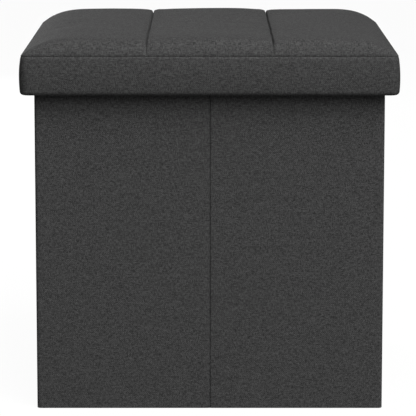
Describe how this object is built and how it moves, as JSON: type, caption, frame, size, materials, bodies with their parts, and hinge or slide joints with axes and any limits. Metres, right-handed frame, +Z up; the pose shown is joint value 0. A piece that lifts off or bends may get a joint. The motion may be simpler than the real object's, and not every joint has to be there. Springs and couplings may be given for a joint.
{
  "type": "folding storage ottoman",
  "caption": "Square cloth-covered storage box whose front and back fold inward on a centre crease, with a padded lift-off cap lid sewn into stitched sections.",
  "frame": {"origin": "on the floor, under the centre of the box", "axes": "+Z up, front face with the centre crease towards -Y, left side towards -X"},
  "size_m": [0.3802, 0.3802, 0.3775],
  "materials": {
    "box_cloth": "woven melange linen look",
    "lid_cloth": "woven melange linen look",
    "lining_cloth": "black spunbond, dimpled",
    "base_cloth": "board in black spunbond",
    "ribbon": "ribbed webbing",
    "fibreboard": "bare fibreboard",
    "pine": "planed softwood",
    "brad_steel": "bright steel wire",
    "wadding": "white polyester wadding",
    "foam": "open cell foam"
  },
  "bodies": {
    "left_side": {"left_side_cover": "box_cloth", "left_side_board": "fibreboard", "left_side_lining": "lining_cloth", "left_corner_welts": "lining_cloth", "base_sheet": "lining_cloth", "base_leaf_left": "base_cloth", "base_leaf_right": "base_cloth", "base_pull_ribbon": "ribbon"},
    "front_left_panel": {"front_left_cover": "box_cloth", "front_left_board": "fibreboard", "front_left_lining": "lining_cloth", "front_crease_strip": "box_cloth"},
    "front_right_panel": {"front_right_cover": "box_cloth", "front_right_board": "fibreboard", "front_right_lining": "lining_cloth"},
    "right_side": {"right_side_cover": "box_cloth", "right_side_board": "fibreboard", "right_side_lining": "lining_cloth", "right_corner_welts": "lining_cloth"},
    "back_left_panel": {"back_left_cover": "box_cloth", "back_left_board": "fibreboard", "back_left_lining": "lining_cloth", "back_crease_strip": "box_cloth"},
    "back_right_panel": {"back_right_cover": "box_cloth", "back_right_board": "fibreboard", "back_right_lining": "lining_cloth"},
    "lid": {"lid_board": "fibreboard", "lid_rail_front": "pine", "lid_rail_back": "pine", "lid_rail_left": "pine", "lid_rail_right": "pine", "lid_brads": "brad_steel", "lid_lining": "lining_cloth", "lid_band_wadding": "wadding", "lid_band_cover": "lid_cloth", "seat_foam": "foam", "seat_cover": "lid_cloth"}
  },
  "joints": [
    {"name": "lid_lift", "type": "slide", "parent": "left_side", "child": "lid", "axis": [0, 0, 1], "range_m": [0, 0.4]},
    {"name": "box_fold", "type": "hinge", "parent": "left_side", "child": "front_left_panel", "pos_m": [-0.164, -0.164, 0], "axis": [0, 0, -1], "range_deg": [-90, 0], "deforming": ["base_sheet", "base_leaf_left", "base_leaf_right", "base_pull_ribbon"]},
    {"name": "front_crease", "type": "hinge", "parent": "front_left_panel", "child": "front_right_panel", "pos_m": [0, -0.1744, 0], "axis": [0, 0, 1], "range_deg": [-180, 0]},
    {"name": "front_right_corner", "type": "hinge", "parent": "front_right_panel", "child": "right_side", "pos_m": [0.164, -0.164, 0], "axis": [0, 0, -1], "range_deg": [-90, 0]},
    {"name": "back_left_corner", "type": "hinge", "parent": "left_side", "child": "back_left_panel", "pos_m": [-0.164, 0.164, 0], "axis": [0, 0, 1], "range_deg": [-90, 0]},
    {"name": "back_crease", "type": "hinge", "parent": "back_left_panel", "child": "back_right_panel", "pos_m": [0, 0.1744, 0], "axis": [0, 0, -1], "range_deg": [-180, 0]}
  ],
  "couplings": [
    {"joint": "front_crease", "follows": "box_fold", "ratio": 2},
    {"joint": "front_right_corner", "follows": "box_fold", "ratio": 1},
    {"joint": "back_left_corner", "follows": "box_fold", "ratio": 1},
    {"joint": "back_crease", "follows": "box_fold", "ratio": 2}
  ]
}
